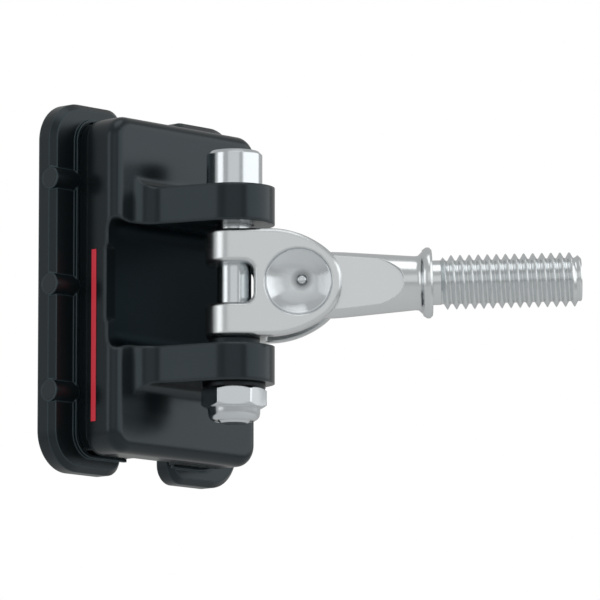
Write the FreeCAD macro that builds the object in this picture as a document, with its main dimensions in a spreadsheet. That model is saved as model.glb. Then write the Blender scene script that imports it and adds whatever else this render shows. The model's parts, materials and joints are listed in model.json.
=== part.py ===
import FreeCAD, Part
import math
import os

import Sketcher
from FreeCAD import Placement, Rotation, Vector

# Batten car for a mast track, in millimetres.
# +X points out from the mast, +Y across it and +Z up it.
# The origin is the middle of the track slot's mouth, on the car's mast side.

document = FreeCAD.newDocument("BattenCar")
sheet = document.addObject("Spreadsheet::Sheet", "Sizes")

# Ten balls a lane and one in each turn touch their neighbours equally when the spacing is this
PITCH = (
    "=((laneBalls - 1) * laneSpan - 2 * sqrt(laneSpan ^ 2 - laneTurn ^ 2 * ((laneBalls - 1) ^ 2 - 4)))"
    " / ((laneBalls - 1) ^ 2 - 4)"
)

# The arms stand as far apart as the toggle, its thrust washer and their clearances need
ARM_INNER = "=(toggleHeight + spacerThick + togglePlay + toggleRoom) / 2"

# Driving dimensions: alias, value and what it measures
SIZES = [
    ("bodyHalfWidth", 18.4, "car body, middle to side face"),
    ("bodyHalfLength", 29.6, "car body, middle to end face"),
    ("bodyFront", 13.1, "front face, out from the mast side"),
    ("bodyCorner", 4.0, "corner radius of the body's outline"),
    ("frontRound", 2.0, "rounding of the front face's edge"),
    ("bandRelief", 0.25, "how far the body is set in beside the housings"),
    ("skirtBase", 1.2, "mast-side end of the body's side skirts"),
    ("skirtThick", 2.2, "thickness of a side skirt"),
    ("skirtInner", "=bodyHalfWidth - skirtThick", "inner face of a side skirt, from the middle"),
    ("roofLevel", 6.3, "underside of the body over the ball housings"),
    ("flangeReach", 5.6, "how far the housings stand out past the body's sides"),
    ("housingHalfWidth", "=bodyHalfWidth + flangeReach", "ball housings, middle to outer wall"),
    ("housingWidth", 18.0, "width of one ball housing"),
    ("slotHalfWidth", "=housingHalfWidth - housingWidth", "half width of the slot for the track"),
    ("chamberStep", 1.6, "how far the chamber is wider than the slot on each side"),
    ("chamberHalfWidth", "=slotHalfWidth + chamberStep", "half width of the chamber for the track's head"),
    ("chamberRoof", 7.4, "roof of the chamber for the track's head"),
    ("recessFloor", 9.3, "floor of the swing recess on the middle line"),
    ("recessSweep", 85.0, "radius of the recess floor, seen from above"),
    ("mouthDepth", 4.4, "how far in from the sides the recess starts to widen"),
    ("mouthStart", "=bodyHalfWidth - mouthDepth", "that place, from the middle"),
    ("mouthRound", 5.0, "radius of the recess's side mouths, seen from the front"),
    ("recessRound", 2.6, "radius between the recess floor and the arms"),
    ("reliefLevel", 10.8, "floor of the shallow relief across the recess"),
    ("reliefHalf", 6.2, "half height of that relief's floor"),
    ("reliefRun", 1.2, "height of the slope at each end of the relief"),
    ("reliefRise", 0.7, "depth of that slope"),
    ("boltReach", 24.35, "clevis bolt axis, out from the mast side"),
    ("armTip", 7.1, "radius of a clevis arm's tip"),
    ("armTaper", 17.0, "angle of each arm's flank, in degrees"),
    ("armThick", 6.5, "thickness of an arm"),
    ("armFlare", 4.2, "radius where an arm's flank meets the front face"),
    ("armRoot", 2.1, "radius above and below an arm's root"),
    ("flangeEnd", 2.9, "how far the housings stand out past the body's ends"),
    ("housingHalfLength", "=bodyHalfLength + flangeEnd", "ball housings, middle to end"),
    ("flangeThick", 3.5, "thickness of the housing's flange"),
    ("flangeCorner", 7.0, "outer corner radius of the flange"),
    ("flangeInnerCorner", 3.4, "inner corner radius of the flange"),
    ("flangeBevel", 1.0, "bevel round the flange's front edge"),
    ("beadOverhang", 0.35, "how far the bead stands out past the body"),
    ("beadHeight", 0.7, "height of the bead above the flange"),
    ("seatGap", 0.05, "clearance between a housing and the body"),
    ("ballDiameter", 4.76, "bearing ball"),
    ("laneBalls", 10, "balls in one straight lane"),
    ("laneGap", 0.07, "clearance between a ball and its lane"),
    ("lanePlane", 3.0, "plane of the ball races, from the mast side"),
    ("laneInset", 1.7, "loaded lane, from the slot's wall"),
    ("loadLane", "=slotHalfWidth + laneInset", "loaded lane, from the middle"),
    ("laneTurn", 2.8, "turning radius of a ball race"),
    ("laneEnd", 5.9, "end of the straight lanes, short of the body's end"),
    ("laneHalfLength", "=bodyHalfLength - laneEnd", "half length of a race's straight lanes"),
    ("laneSpan", "=2 * (laneHalfLength + laneTurn)", "a race's length, from turn ball to turn ball"),
    ("ballPitch", PITCH, "even spacing of the balls all round a race"),
    ("pinDiameter", 1.6, "shank of a housing's retaining pin"),
    ("pinHead", 3.4, "head of a retaining pin"),
    ("pinHeadThick", 1.0, "thickness of that head"),
    ("pinEnd", 10.9, "outer pins, short of the body's end"),
    ("pinSpacing", "=bodyHalfLength - pinEnd", "spacing of the retaining pins along the car"),
    ("pinLevel", 2.6, "axis of the retaining pins, from the mast side"),
    ("ribRadius", 2.0, "radius of the housing's rib round a retaining pin"),
    ("boltDiameter", 6.0, "clevis bolt"),
    ("boltGap", 0.05, "clearance round the clevis bolt"),
    ("boltShort", 0.7, "how far the bolt's end stays inside the nut"),
    ("headDiameter", 9.8, "clevis bolt's head"),
    ("headHeight", 6.4, "height of the clevis bolt's head"),
    ("headBevel", 0.6, "bevel on the head's edge"),
    ("socketAcross", 5.0, "hexagon socket, across its flats"),
    ("socketDepth", 3.0, "depth of the hexagon socket"),
    ("washerDiameter", 11.0, "washer under the lower arm"),
    ("washerThick", 0.8, "thickness of that washer"),
    ("washerGap", 0.2, "clearance of a washer round the bolt"),
    ("nutAcross", 10.0, "lock nut, across its flats"),
    ("nutHexHeight", 3.7, "height of the nut's hexagon"),
    ("nutHeight", 6.8, "whole height of the lock nut"),
    ("nutCollar", 9.1, "diameter of the nut's collar"),
    ("nutTaper", 0.9, "bevel on the collar's end"),
    ("nutCone", 0.5, "bevel on the nut's corners"),
    ("nutTurn", 13.0, "turn of the nut on the bolt, in degrees"),
    ("insertDiameter", 7.4, "nylon insert of the lock nut"),
    ("insertHeight", 1.7, "height of the nylon insert"),
    ("insertLip", 0.3, "lip of the collar over the insert"),
    ("spacerDiameter", 9.0, "thrust washer under the toggle"),
    ("spacerThick", 1.3, "thickness of the thrust washer"),
    ("togglePlay", 0.05, "running clearance on the thrust washer"),
    ("toggleHeight", 18.8, "height of the toggle"),
    ("toggleRoom", 1.35, "room between the toggle and the upper arm"),
    ("armInner", ARM_INNER, "inner face of an arm, from the middle"),
    ("toggleThick", 12.2, "thickness of the toggle"),
    ("toggleBack", 5.0, "back of the toggle, behind the bolt axis"),
    ("toggleBackRound", 4.9, "upright corner radius at the toggle's back"),
    ("toggleShoulder", 6.0, "where the toggle's nose starts to curve in"),
    ("toggleNose", 7.6, "radius of the toggle's nose round the cross pin"),
    ("toggleEdge", 0.5, "rounding of the toggle's edges"),
    ("toggleYaw", 43.0, "swing of the toggle at rest, in degrees"),
    ("lugGap", 7.2, "gap between the toggle's two lugs"),
    ("lugGapEnd", 3.4, "end of that gap, beyond the bolt axis"),
    ("lugGapRound", 1.8, "corner radius at the end of that gap"),
    ("crossReach", 11.16, "cross pin axis, from the bolt axis"),
    ("crossDiameter", 5.0, "cross pin's shank"),
    ("crossHead", 11.8, "flush head of the cross pin"),
    ("crossHeadThick", 1.1, "thickness of the cross pin's head"),
    ("crossRim", 0.3, "flat rim of the dished head"),
    ("dishDepth", 0.85, "depth of the dish in the head"),
    ("dishNub", 1.4, "radius of the ring round the dish's centre nub"),
    ("nubRadius", 0.65, "radius of the centre nub"),
    ("crossGap", 0.05, "running clearance of the stud on the cross pin"),
    ("studTilt", 1.5, "upward tilt of the stud at rest, in degrees"),
    ("eyeRadius", 5.4, "radius of the stud's eye"),
    ("tangThick", 6.8, "thickness of the stud's flat eye"),
    ("tangPlay", 0.1, "side play of the eye between the ears"),
    ("tangClear", 0.15, "room behind the eye in the toggle's slot"),
    ("tangEnd", 18.4, "end of the stud's flats, from the cross pin"),
    ("tangTip", 3.0, "radius at the very end of the flats"),
    ("tangSide", 9.0, "radius that leads from the flats' edges to that end"),
    ("tangTurn", 50.0, "where the two radii meet, in degrees round the end"),
    ("neckShoulder", 6.0, "thickest place of the neck, from the cross pin"),
    ("neckStart", 5.85, "radius of the neck at its thickest place"),
    ("neckEnd", 4.7, "radius of the neck before the collar"),
    ("neckLength", 20.8, "end of the neck, from the cross pin"),
    ("collarStart", 22.0, "start of the collar, from the cross pin"),
    ("collarThick", 1.4, "thickness of the collar"),
    ("collarDiameter", 12.4, "diameter of the collar"),
    ("reliefLength", 1.4, "length of the relief behind the thread"),
    ("reliefDiameter", 7.8, "diameter of the relief"),
    ("threadDiameter", 9.525, "outside of the thread, 3/8 inch"),
    ("threadLength", 24.7, "length of the thread"),
    ("threadChamfer", 1.1, "chamfer on the thread's end"),
    ("stripeLength", 30.2, "length of the red stripe"),
    ("stripeWidth", 1.1, "width of the red stripe"),
    ("stripeThick", 0.12, "thickness of the red stripe"),
    ("stripeLevel", 8.15, "middle of the stripe, from the mast side"),
    ("stripeLow", 24.1, "lower end of the stripe, below the middle"),
]

for row, (alias, value, meaning) in enumerate(SIZES, start=1):
    sheet.set("A%d" % row, meaning)
    sheet.set("B%d" % row, str(value))
    sheet.setAlias("B%d" % row, alias)
document.recompute()

ALIASES = sorted((alias for alias, value, meaning in SIZES), key=len, reverse=True)


def bound(text):
    """An expression on the sheet's cells, from one that names them only."""
    words = []
    word = ""
    for character in text + " ":
        if character.isalnum():
            word += character
            continue
        words.append("Sizes." + word if word in ALIASES else word)
        words.append(character)
        word = ""
    return "".join(words).strip()


def measure(text):
    """The number that an expression on the sheet's cells gives."""
    return float(sheet.evalExpression(bound(text)))


# Sketches


def origin_plane(body, role):
    """One of a body's own three origin planes."""
    return next(item for item in body.Origin.OriginFeatures if item.Role == role)


def new_sketch(body, name, role, offset=None):
    """A sketch on a body's origin plane, moved along the plane's normal."""
    sketch = body.newObject("Sketcher::SketchObject", name)
    sketch.AttachmentSupport = [(origin_plane(body, role), "")]
    sketch.MapMode = "FlatFace"
    if offset:
        sketch.setExpression("AttachmentOffset.Base.z", bound(offset))
    return sketch


def fix_coordinate(sketch, kind, geometry, point, text):
    """Hold one coordinate of a point at an expression's value."""
    value = measure(text)
    index = sketch.addConstraint(Sketcher.Constraint(kind, -1, 1, geometry, point, value))
    name = "%s%d" % (kind, index)
    sketch.renameConstraint(index, name)
    sketch.setExpression("Constraints." + name, bound(text))


def fix_radius(sketch, geometry, text):
    """Hold a circle's or an arc's radius at an expression's value."""
    index = sketch.addConstraint(Sketcher.Constraint("Radius", geometry, measure(text)))
    name = "Radius%d" % index
    sketch.renameConstraint(index, name)
    sketch.setExpression("Constraints." + name, bound(text))


def draw_circle(sketch, x, y, radius):
    """A circle with its centre and radius held by expressions."""
    centre = Vector(measure(x), measure(y), 0)
    circle = Part.Circle(centre, Vector(0, 0, 1), measure(radius))
    index = sketch.addGeometry(circle, False)
    fix_radius(sketch, index, radius)
    fix_coordinate(sketch, "DistanceX", index, 3, x)
    fix_coordinate(sketch, "DistanceY", index, 3, y)


def bend(start, end, radius, turn):
    """An arc under half a circle from start to end; turn 1 bends left, -1 right."""
    chord = end - start
    left = Vector(-chord.y, chord.x, 0).normalize()
    rise = math.sqrt(radius ** 2 - (chord.Length / 2) ** 2)
    centre = (start + end) / 2 + left * (rise * turn)
    first, last = (start, end) if turn > 0 else (end, start)
    angles = [math.atan2(p.y - centre.y, p.x - centre.x) for p in (first, last)]
    circle = Part.Circle(centre, Vector(0, 0, 1), radius)
    return Part.ArcOfCircle(circle, angles[0], angles[1])


def draw_outline(sketch, corners):
    """A closed outline. Each corner is x, y and, for a bent side after it, radius and turn."""
    points = [Vector(measure(corner[0]), measure(corner[1]), 0) for corner in corners]
    sides = []
    for number, corner in enumerate(corners):
        start = points[number]
        end = points[(number + 1) % len(points)]
        if len(corner) == 2:
            index = sketch.addGeometry(Part.LineSegment(start, end), False)
            sides.append((index, 1, 2))
            continue
        radius, turn = corner[2:]
        index = sketch.addGeometry(bend(start, end, measure(radius), turn), False)
        sides.append((index, 1, 2) if turn > 0 else (index, 2, 1))
    for number, corner in enumerate(corners):
        index, first, last = sides[number]
        after, after_first, after_last = sides[(number + 1) % len(sides)]
        sketch.addConstraint(Sketcher.Constraint("Coincident", index, last, after, after_first))
        if len(corner) > 2:
            fix_radius(sketch, index, corner[2])
    for number, corner in enumerate(corners):
        index, first, last = sides[number]
        fix_coordinate(sketch, "DistanceX", index, first, corner[0])
        fix_coordinate(sketch, "DistanceY", index, first, corner[1])


def rectangle(low_x, high_x, low_y, high_y):
    """The corners of an upright rectangle."""
    return [(low_x, low_y), (high_x, low_y), (high_x, high_y), (low_x, high_y)]


def rounded_rectangle(low_x, high_x, low_y, high_y, radius):
    """The corners and bends of a rectangle with four rounded corners."""
    return [
        ("%s + %s" % (low_x, radius), low_y),
        ("%s - %s" % (high_x, radius), low_y, radius, 1),
        (high_x, "%s + %s" % (low_y, radius)),
        (high_x, "%s - %s" % (high_y, radius), radius, 1),
        ("%s - %s" % (high_x, radius), high_y),
        ("%s + %s" % (low_x, radius), high_y, radius, 1),
        (low_x, "%s - %s" % (high_y, radius)),
        (low_x, "%s + %s" % (low_y, radius), radius, 1),
    ]


def half_rounded(inner, outer, end, radius):
    """A rectangle with rounded corners on its outer side only."""
    return [
        (inner, "-" + end),
        ("%s - %s" % (outer, radius), "-" + end, radius, 1),
        (outer, "-(%s - %s)" % (end, radius)),
        (outer, "%s - %s" % (end, radius), radius, 1),
        ("%s - %s" % (outer, radius), end),
        (inner, end),
    ]


# Features


def new_body(label):
    """An empty body whose label names its piece."""
    body = document.addObject("PartDesign::Body", label)
    body.Label = label
    body.AllowCompound = True
    return body


def volume(body):
    """The volume of a body's last feature."""
    document.recompute()
    return body.Tip.Shape.Volume


def add_pad(body, sketch, length, reverse=False):
    """Push a sketch out by a length."""
    pad = body.newObject("PartDesign::Pad", sketch.Name + "Pad")
    pad.Profile = sketch
    pad.Reversed = reverse
    pad.setExpression("Length", bound(length))
    document.recompute()
    return pad


def add_pocket(body, sketch, length, reverse=False):
    """Cut a sketch into the body by a length, and see that it cuts."""
    before = volume(body)
    pocket = body.newObject("PartDesign::Pocket", sketch.Name + "Pocket")
    pocket.Profile = sketch
    pocket.Reversed = reverse
    pocket.setExpression("Length", bound(length))
    if volume(body) >= before:
        raise RuntimeError(sketch.Name + " cuts nothing")
    return pocket


def add_turned(body, sketch, kind="PartDesign::Revolution", axis="H_Axis"):
    """Turn a sketch a full circle about one of its own axes, to add or to cut."""
    turned = body.newObject(kind, sketch.Name + "Turned")
    turned.Profile = sketch
    turned.ReferenceAxis = (sketch, [axis])
    turned.Angle = 360
    document.recompute()
    return turned


def edges_of(feature, wanted):
    """Names of a feature's edges that a test picks."""
    edges = enumerate(feature.Shape.Edges, start=1)
    return ["Edge%d" % number for number, edge in edges if wanted(edge)]


def add_fillet(body, radius, wanted):
    """Round the edges of the body that a test picks."""
    base = body.Tip
    fillet = body.newObject("PartDesign::Fillet", "Fillet")
    fillet.Base = (base, edges_of(base, wanted))
    fillet.setExpression("Radius", bound(radius))
    document.recompute()
    return fillet


def add_chamfer(body, width, wanted):
    """Bevel the edges of the body that a test picks."""
    base = body.Tip
    chamfer = body.newObject("PartDesign::Chamfer", "Chamfer")
    chamfer.Base = (base, edges_of(base, wanted))
    chamfer.setExpression("Size", bound(width))
    document.recompute()
    return chamfer


def near(value, text):
    """Whether a number is an expression's value."""
    return abs(value - measure(text)) < 1e-4


def flat_at(edge, direction, text):
    """Whether an edge lies flat at one level of X, Y or Z."""
    box = edge.BoundBox
    low = getattr(box, direction + "Min")
    high = getattr(box, direction + "Max")
    return near(low, text) and near(high, text)


def runs_along(edge, direction):
    """Whether an edge is a straight line along X, Y or Z."""
    box = edge.BoundBox
    spans = {name: getattr(box, name + "Length") for name in "XYZ"}
    return spans.pop(direction) > 1e-3 and max(spans.values()) < 1e-4


# Car body: anodised aluminium block with the two clevis arms


def body_block(body):
    """The block, set in beside the housings, with a rounded front edge."""
    upper = new_sketch(body, "BlockOutline", "YZ_Plane", "roofLevel")
    wide, long = "bodyHalfWidth", "bodyHalfLength"
    draw_outline(upper, rectangle("-" + wide, wide, "-" + long, long))
    add_pad(body, upper, "bodyFront - roofLevel")
    add_fillet(body, "bodyCorner", lambda edge: runs_along(edge, "X"))
    add_fillet(body, "frontRound", lambda edge: flat_at(edge, "X", "bodyFront"))
    width = "(bodyHalfWidth - bandRelief)"
    length = "(bodyHalfLength - bandRelief)"
    lower = new_sketch(body, "BandOutline", "YZ_Plane", "skirtBase")
    draw_outline(lower, rounded_rectangle("-" + width, width, "-" + length, length, "bodyCorner"))
    add_pad(body, lower, "roofLevel - skirtBase")


def body_channel(body):
    """The bay for the two ball housings and the chamber for the track's head."""
    outline = new_sketch(body, "ChannelOutline", "XY_Plane", "-bodyHalfLength - 1")
    draw_outline(outline, [
        ("skirtBase - 1", "-skirtInner"),
        ("roofLevel", "-skirtInner"),
        ("roofLevel", "-chamberHalfWidth"),
        ("chamberRoof", "-chamberHalfWidth"),
        ("chamberRoof", "chamberHalfWidth"),
        ("roofLevel", "chamberHalfWidth"),
        ("roofLevel", "skirtInner"),
        ("skirtBase - 1", "skirtInner"),
    ])
    add_pocket(body, outline, "2 * bodyHalfLength + 2", reverse=True)


def make_recess_tool():
    """The shape of the swing recess and the room between the arms, to be cut out of the body."""
    body = new_body("recess_tool")
    outline = new_sketch(body, "RecessOutline", "YZ_Plane", "recessFloor - 1")
    side = "(bodyHalfWidth + 0.3)"
    flare = "(mouthRound - sqrt(mouthRound ^ 2 - (%s - mouthStart) ^ 2))" % side
    mouth = "(armInner + %s)" % flare
    draw_outline(outline, [
        ("-mouthStart", "-armInner"),
        ("mouthStart", "-armInner", "mouthRound", -1),
        (side, "-" + mouth),
        (side, mouth, "mouthRound", -1),
        ("mouthStart", "armInner"),
        ("-mouthStart", "armInner", "mouthRound", -1),
        ("-" + side, mouth),
        ("-" + side, "-" + mouth, "mouthRound", -1),
    ])
    add_pad(body, outline, "boltReach + armTip + 2 - recessFloor")
    floor = new_sketch(body, "RecessFloor", "XY_Plane", "-armInner - mouthRound")
    edge_x = "(recessFloor + recessSweep - sqrt(recessSweep ^ 2 - (%s + 1) ^ 2))" % side
    draw_outline(floor, [
        (edge_x, "%s + 1" % side, "recessSweep", 1),
        (edge_x, "-%s - 1" % side),
        ("recessFloor - 2", "-%s - 1" % side),
        ("recessFloor - 2", "%s + 1" % side),
    ])
    add_pocket(body, floor, "2 * (armInner + mouthRound)", reverse=True)
    add_fillet(body, "recessRound", recess_corner)
    return body


def recess_corner(edge):
    """Edges between the recess floor and its ceilings."""
    box = edge.BoundBox
    level = max(box.ZMin, -box.ZMax)
    return box.XMax < measure("bodyFront") and level > measure("armInner") - 0.01


def body_recess(body):
    """Cut the swing recess, then the shallow relief across its floor."""
    cut = body.newObject("PartDesign::Boolean", "Recess")
    cut.Type = "Cut"
    cut.setObjects([make_recess_tool()])
    document.recompute()
    relief = new_sketch(body, "ReliefOutline", "XZ_Plane", "bodyHalfWidth + 1")
    deep, high = "reliefLevel", "(reliefLevel + reliefRise)"
    half = "(reliefHalf + reliefRun)"
    draw_outline(relief, [
        (deep, "-reliefHalf"),
        (high, "-" + half),
        ("bodyFront + 1", "-" + half),
        ("bodyFront + 1", half),
        (high, half),
        (deep, "reliefHalf"),
    ])
    add_pocket(body, relief, "2 * bodyHalfWidth + 2")


def arm_outline(body):
    """The arms from above: a round tip, tapered flanks and flared roots."""
    tip_x = "(boltReach + armTip * sin(armTaper))"
    tip_y = "(armTip * cos(armTaper))"
    reach = "(boltReach - bodyFront - armFlare)"
    flare_y = "((armFlare + armTip + %s * sin(armTaper)) / cos(armTaper))" % reach
    flank_x = "(bodyFront + armFlare * (1 - sin(armTaper)))"
    flank_y = "(%s - armFlare * cos(armTaper))" % flare_y
    sketch = new_sketch(body, "ArmOutline", "XY_Plane", "-(armInner + armThick + armRoot)")
    draw_outline(sketch, [
        (tip_x, "-" + tip_y, "armTip", 1),
        (tip_x, tip_y),
        (flank_x, flank_y, "armFlare", -1),
        ("bodyFront", flare_y),
        ("chamberRoof + 1", flare_y),
        ("chamberRoof + 1", "-" + flare_y),
        ("bodyFront", "-" + flare_y, "armFlare", -1),
        (flank_x, "-" + flank_y),
    ])
    add_pad(body, sketch, "2 * (armInner + armThick + armRoot)")


def arm_faces(body):
    """Trim the arms above and below, leaving a small radius at their roots."""
    far = "(boltReach + armTip + 1)"
    face = "(armInner + armThick)"
    sketch = new_sketch(body, "ArmFaceOutline", "XZ_Plane", "bodyHalfWidth")
    for side in ("", "-"):
        draw_outline(sketch, [
            ("bodyFront", side + "(%s + armRoot)" % face, "armRoot", -1 if side else 1),
            ("bodyFront + armRoot", side + face),
            (far, side + face),
            (far, side + "(%s + armRoot + 1)" % face),
            ("bodyFront", side + "(%s + armRoot + 1)" % face),
        ])
    add_pocket(body, sketch, "2 * bodyHalfWidth")


def body_bores(body):
    """The clevis bolt's bore and the holes of the housings' retaining pins."""
    face = "(armInner + armThick + 1)"
    bore = new_sketch(body, "BoltBore", "XY_Plane", "-" + face)
    draw_circle(bore, "boltReach", "0", "boltDiameter / 2 + boltGap")
    add_pocket(body, bore, "2 * " + face, reverse=True)
    holes = new_sketch(body, "PinHoles", "XZ_Plane", "bodyHalfWidth + 1")
    for level in ("-pinSpacing", "0", "pinSpacing"):
        draw_circle(holes, "pinLevel", level, "pinDiameter / 2")
    add_pocket(body, holes, "2 * bodyHalfWidth + 2")


def make_car_body():
    """The whole car body."""
    body = new_body("car_body")
    body_block(body)
    body_channel(body)
    arm_outline(body)
    arm_faces(body)
    body_recess(body)
    body_bores(body)
    return body


# Ball housings: black moulded plastic, one each side of the track slot


def mirror_to_left(body):
    """Turn a piece made for the right side over to the left one."""
    body.Placement = Placement(Vector(0, 0, 0), Rotation(Vector(1, 0, 0), 180))


# Angles of the corners of the eight-sided sections of the races and the balls, in degrees
EIGHT_CORNERS = (22.5, 67.5, 112.5, 157.5, 202.5, 247.5, 292.5, 337.5)


def race_pipe(body):
    """Cut the race: an eight-sided section swept round two lanes and two turns."""
    section = new_sketch(body, "RaceSection", "XY_Plane", "-laneHalfLength")
    reach = "((ballDiameter / 2 + laneGap) / cos(22.5))"
    draw_outline(section, [
        ("lanePlane + %s * cos(%s)" % (reach, turn), "loadLane + %s * sin(%s)" % (reach, turn))
        for turn in EIGHT_CORNERS
    ])
    path = new_sketch(body, "RacePath", "YZ_Plane", "lanePlane")
    back = "loadLane + 2 * laneTurn"
    middle = "loadLane + laneTurn"
    draw_outline(path, [
        ("loadLane", "-laneHalfLength"),
        ("loadLane", "laneHalfLength", "laneTurn", -1),
        (middle, "laneHalfLength + laneTurn", "laneTurn", -1),
        (back, "laneHalfLength"),
        (back, "-laneHalfLength", "laneTurn", -1),
        (middle, "-laneHalfLength - laneTurn", "laneTurn", -1),
    ])
    before = volume(body)
    pipe = body.newObject("PartDesign::SubtractivePipe", "RacePipe")
    pipe.Profile = section
    pipe.Spine = path
    if volume(body) >= before:
        raise RuntimeError("the race cuts nothing")


def upright_at(edge, text):
    """Whether an edge runs along X at one level of Y."""
    return runs_along(edge, "X") and near(edge.BoundBox.YMax, text)


def make_housing(label):
    """A ball housing: flange, bead round the body, bay, skirt slot, race and pin seats."""
    body = new_body(label)
    flange = new_sketch(body, "FlangeOutline", "YZ_Plane")
    wide, long = "housingHalfWidth", "housingHalfLength"
    draw_outline(flange, rectangle("slotHalfWidth", wide, "-" + long, long))
    add_pad(body, flange, "flangeThick")
    add_fillet(body, "flangeCorner", lambda edge: upright_at(edge, "housingHalfWidth"))
    add_fillet(body, "flangeInnerCorner", lambda edge: upright_at(edge, "slotHalfWidth"))
    add_chamfer(body, "flangeBevel", lambda edge: flat_at(edge, "X", "flangeThick"))
    wide = "(bodyHalfWidth + beadOverhang)"
    long = "(bodyHalfLength + beadOverhang)"
    corner = "(bodyCorner + beadOverhang)"
    bead = new_sketch(body, "BeadOutline", "YZ_Plane", "flangeThick")
    draw_outline(bead, half_rounded("slotHalfWidth", wide, long, corner))
    add_pad(body, bead, "beadHeight")
    wide = "(bodyHalfWidth - bandRelief + seatGap)"
    long = "(bodyHalfLength - bandRelief + seatGap)"
    corner = "(bodyCorner + seatGap)"
    bay = new_sketch(body, "BayOutline", "YZ_Plane", "flangeThick + beadHeight")
    draw_outline(bay, half_rounded("slotHalfWidth - 1", wide, long, corner))
    add_pocket(body, bay, "flangeThick + beadHeight - lanePlane")
    slot = new_sketch(body, "SkirtSlotOutline", "YZ_Plane", "lanePlane")
    inner = "(skirtInner - seatGap)"
    across = "(%s - %s + %s)" % (inner, wide, corner)
    ends = "(%s - %s + sqrt(%s ^ 2 - %s ^ 2))" % (long, corner, corner, across)
    draw_outline(slot, [
        (inner, "-" + ends, corner, 1),
        (wide, "-(%s - %s)" % (long, corner)),
        (wide, "%s - %s" % (long, corner), corner, 1),
        (inner, ends),
    ])
    add_pocket(body, slot, "lanePlane - skirtBase + seatGap")
    ribs = new_sketch(body, "PinRibs", "XZ_Plane", "-housingHalfWidth")
    for level in ("-pinSpacing", "0", "pinSpacing"):
        draw_circle(ribs, "pinLevel", level, "ribRadius")
    add_pad(body, ribs, "housingHalfWidth - " + wide)
    seats = new_sketch(body, "PinSeats", "XZ_Plane", "-housingHalfWidth - 1")
    for level in ("-pinSpacing", "0", "pinSpacing"):
        draw_circle(seats, "pinLevel", level, "pinDiameter / 2")
    add_pocket(body, seats, "housingHalfWidth + 1 - skirtInner", reverse=True)
    heads = new_sketch(body, "PinHeadSeats", "XZ_Plane", "-housingHalfWidth - 1")
    for level in ("-pinSpacing", "0", "pinSpacing"):
        draw_circle(heads, "pinLevel", level, "pinHead / 2")
    add_pocket(body, heads, "pinHeadThick + 1", reverse=True)
    race_pipe(body)
    return body


def make_race_cover(label):
    """The inner half of a ball race, held between its housing and the car body."""
    body = new_body(label)
    outline = new_sketch(body, "CoverOutline", "YZ_Plane", "lanePlane")
    long = "(bodyHalfLength - bandRelief)"
    draw_outline(outline, half_rounded("slotHalfWidth", "skirtInner - seatGap", long, "bodyCorner"))
    add_pad(body, outline, "roofLevel - seatGap - lanePlane")
    race_pipe(body)
    return body


def make_pins(label):
    """Three retaining pins through a skirt, their heads flush in the housing's outer wall."""
    body = new_body(label)
    sketch = new_sketch(body, "PinCircles", "XZ_Plane", "-skirtInner")
    for level in ("-pinSpacing", "0", "pinSpacing"):
        draw_circle(sketch, "pinLevel", level, "pinDiameter / 2")
    add_pad(body, sketch, "housingHalfWidth - skirtInner", reverse=True)
    heads = new_sketch(body, "PinHeads", "XZ_Plane", "-housingHalfWidth")
    for level in ("-pinSpacing", "0", "pinSpacing"):
        draw_circle(heads, "pinLevel", level, "pinHead / 2")
    add_pad(body, heads, "pinHeadThick")
    return body


def ball_at(body, name, across, along):
    """A faceted stand-in for a ball: eight-sided rings, lofted from pole to pole."""
    rings = []
    for number, turn in enumerate((-60, 0, 60)):
        level = "%s + ballDiameter / 2 * sin(%s)" % (along, turn)
        ring = new_sketch(body, "%s%d" % (name, number), "XY_Plane", level)
        draw_outline(ring, [
            (
                "lanePlane + ballDiameter / 2 * cos(%s) * cos(%s)" % (turn, step),
                "%s + ballDiameter / 2 * cos(%s) * sin(%s)" % (across, turn, step),
            )
            for step in EIGHT_CORNERS
        ])
        rings.append(ring)
    loft = body.newObject("PartDesign::AdditiveLoft", name + "Loft")
    loft.Profile = rings[0]
    loft.Sections = rings[1:]
    loft.Ruled = True
    document.recompute()
    return loft


def add_row(body, feature, length, count):
    """Repeat a feature along its sketch's normal, evenly over a length."""
    row = body.newObject("PartDesign::LinearPattern", feature.Name + "Row")
    row.Originals = [feature]
    row.Direction = (feature.Profile[0], ["N_Axis"])
    row.setExpression("Length", bound(length))
    row.setExpression("Occurrences", bound(count))
    body.Tip = row
    document.recompute()


def make_balls(label):
    """One race full of bearing balls: two straight lanes and a ball in each turn."""
    body = new_body(label)
    span = "ballPitch * (laneBalls - 1)"
    back = "loadLane + 2 * laneTurn"
    for name, across in (("LoadBall", "loadLane"), ("ReturnBall", back)):
        ball = ball_at(body, name, across, "-%s / 2" % span)
        add_row(body, ball, span, "laneBalls")
    end = "(laneHalfLength + laneTurn)"
    ball = ball_at(body, "TurnBall", "loadLane + laneTurn", "-" + end)
    add_row(body, ball, "2 * " + end, "2")
    return body


# Clevis bolt, washers and lock nut


def at_bolt(body, turn="0", level="0"):
    """Place a piece on the clevis bolt's axis, turned about it."""
    body.setExpression("Placement.Base.x", bound("boltReach"))
    body.setExpression("Placement.Base.z", bound(level))
    body.Placement.Rotation = Rotation(Vector(0, 0, 1), measure(turn))


def hexagon(across):
    """The corners of a hexagon with a flat facing +X."""
    half = "(%s) / 2" % across
    low = "(%s) / 2 / sqrt(3)" % across
    tall = "(%s) / sqrt(3)" % across
    return [
        (half, "-" + low),
        (half, low),
        ("0", tall),
        ("-" + half, low),
        ("-" + half, "-" + low),
        ("0", "-" + tall),
    ]


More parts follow.
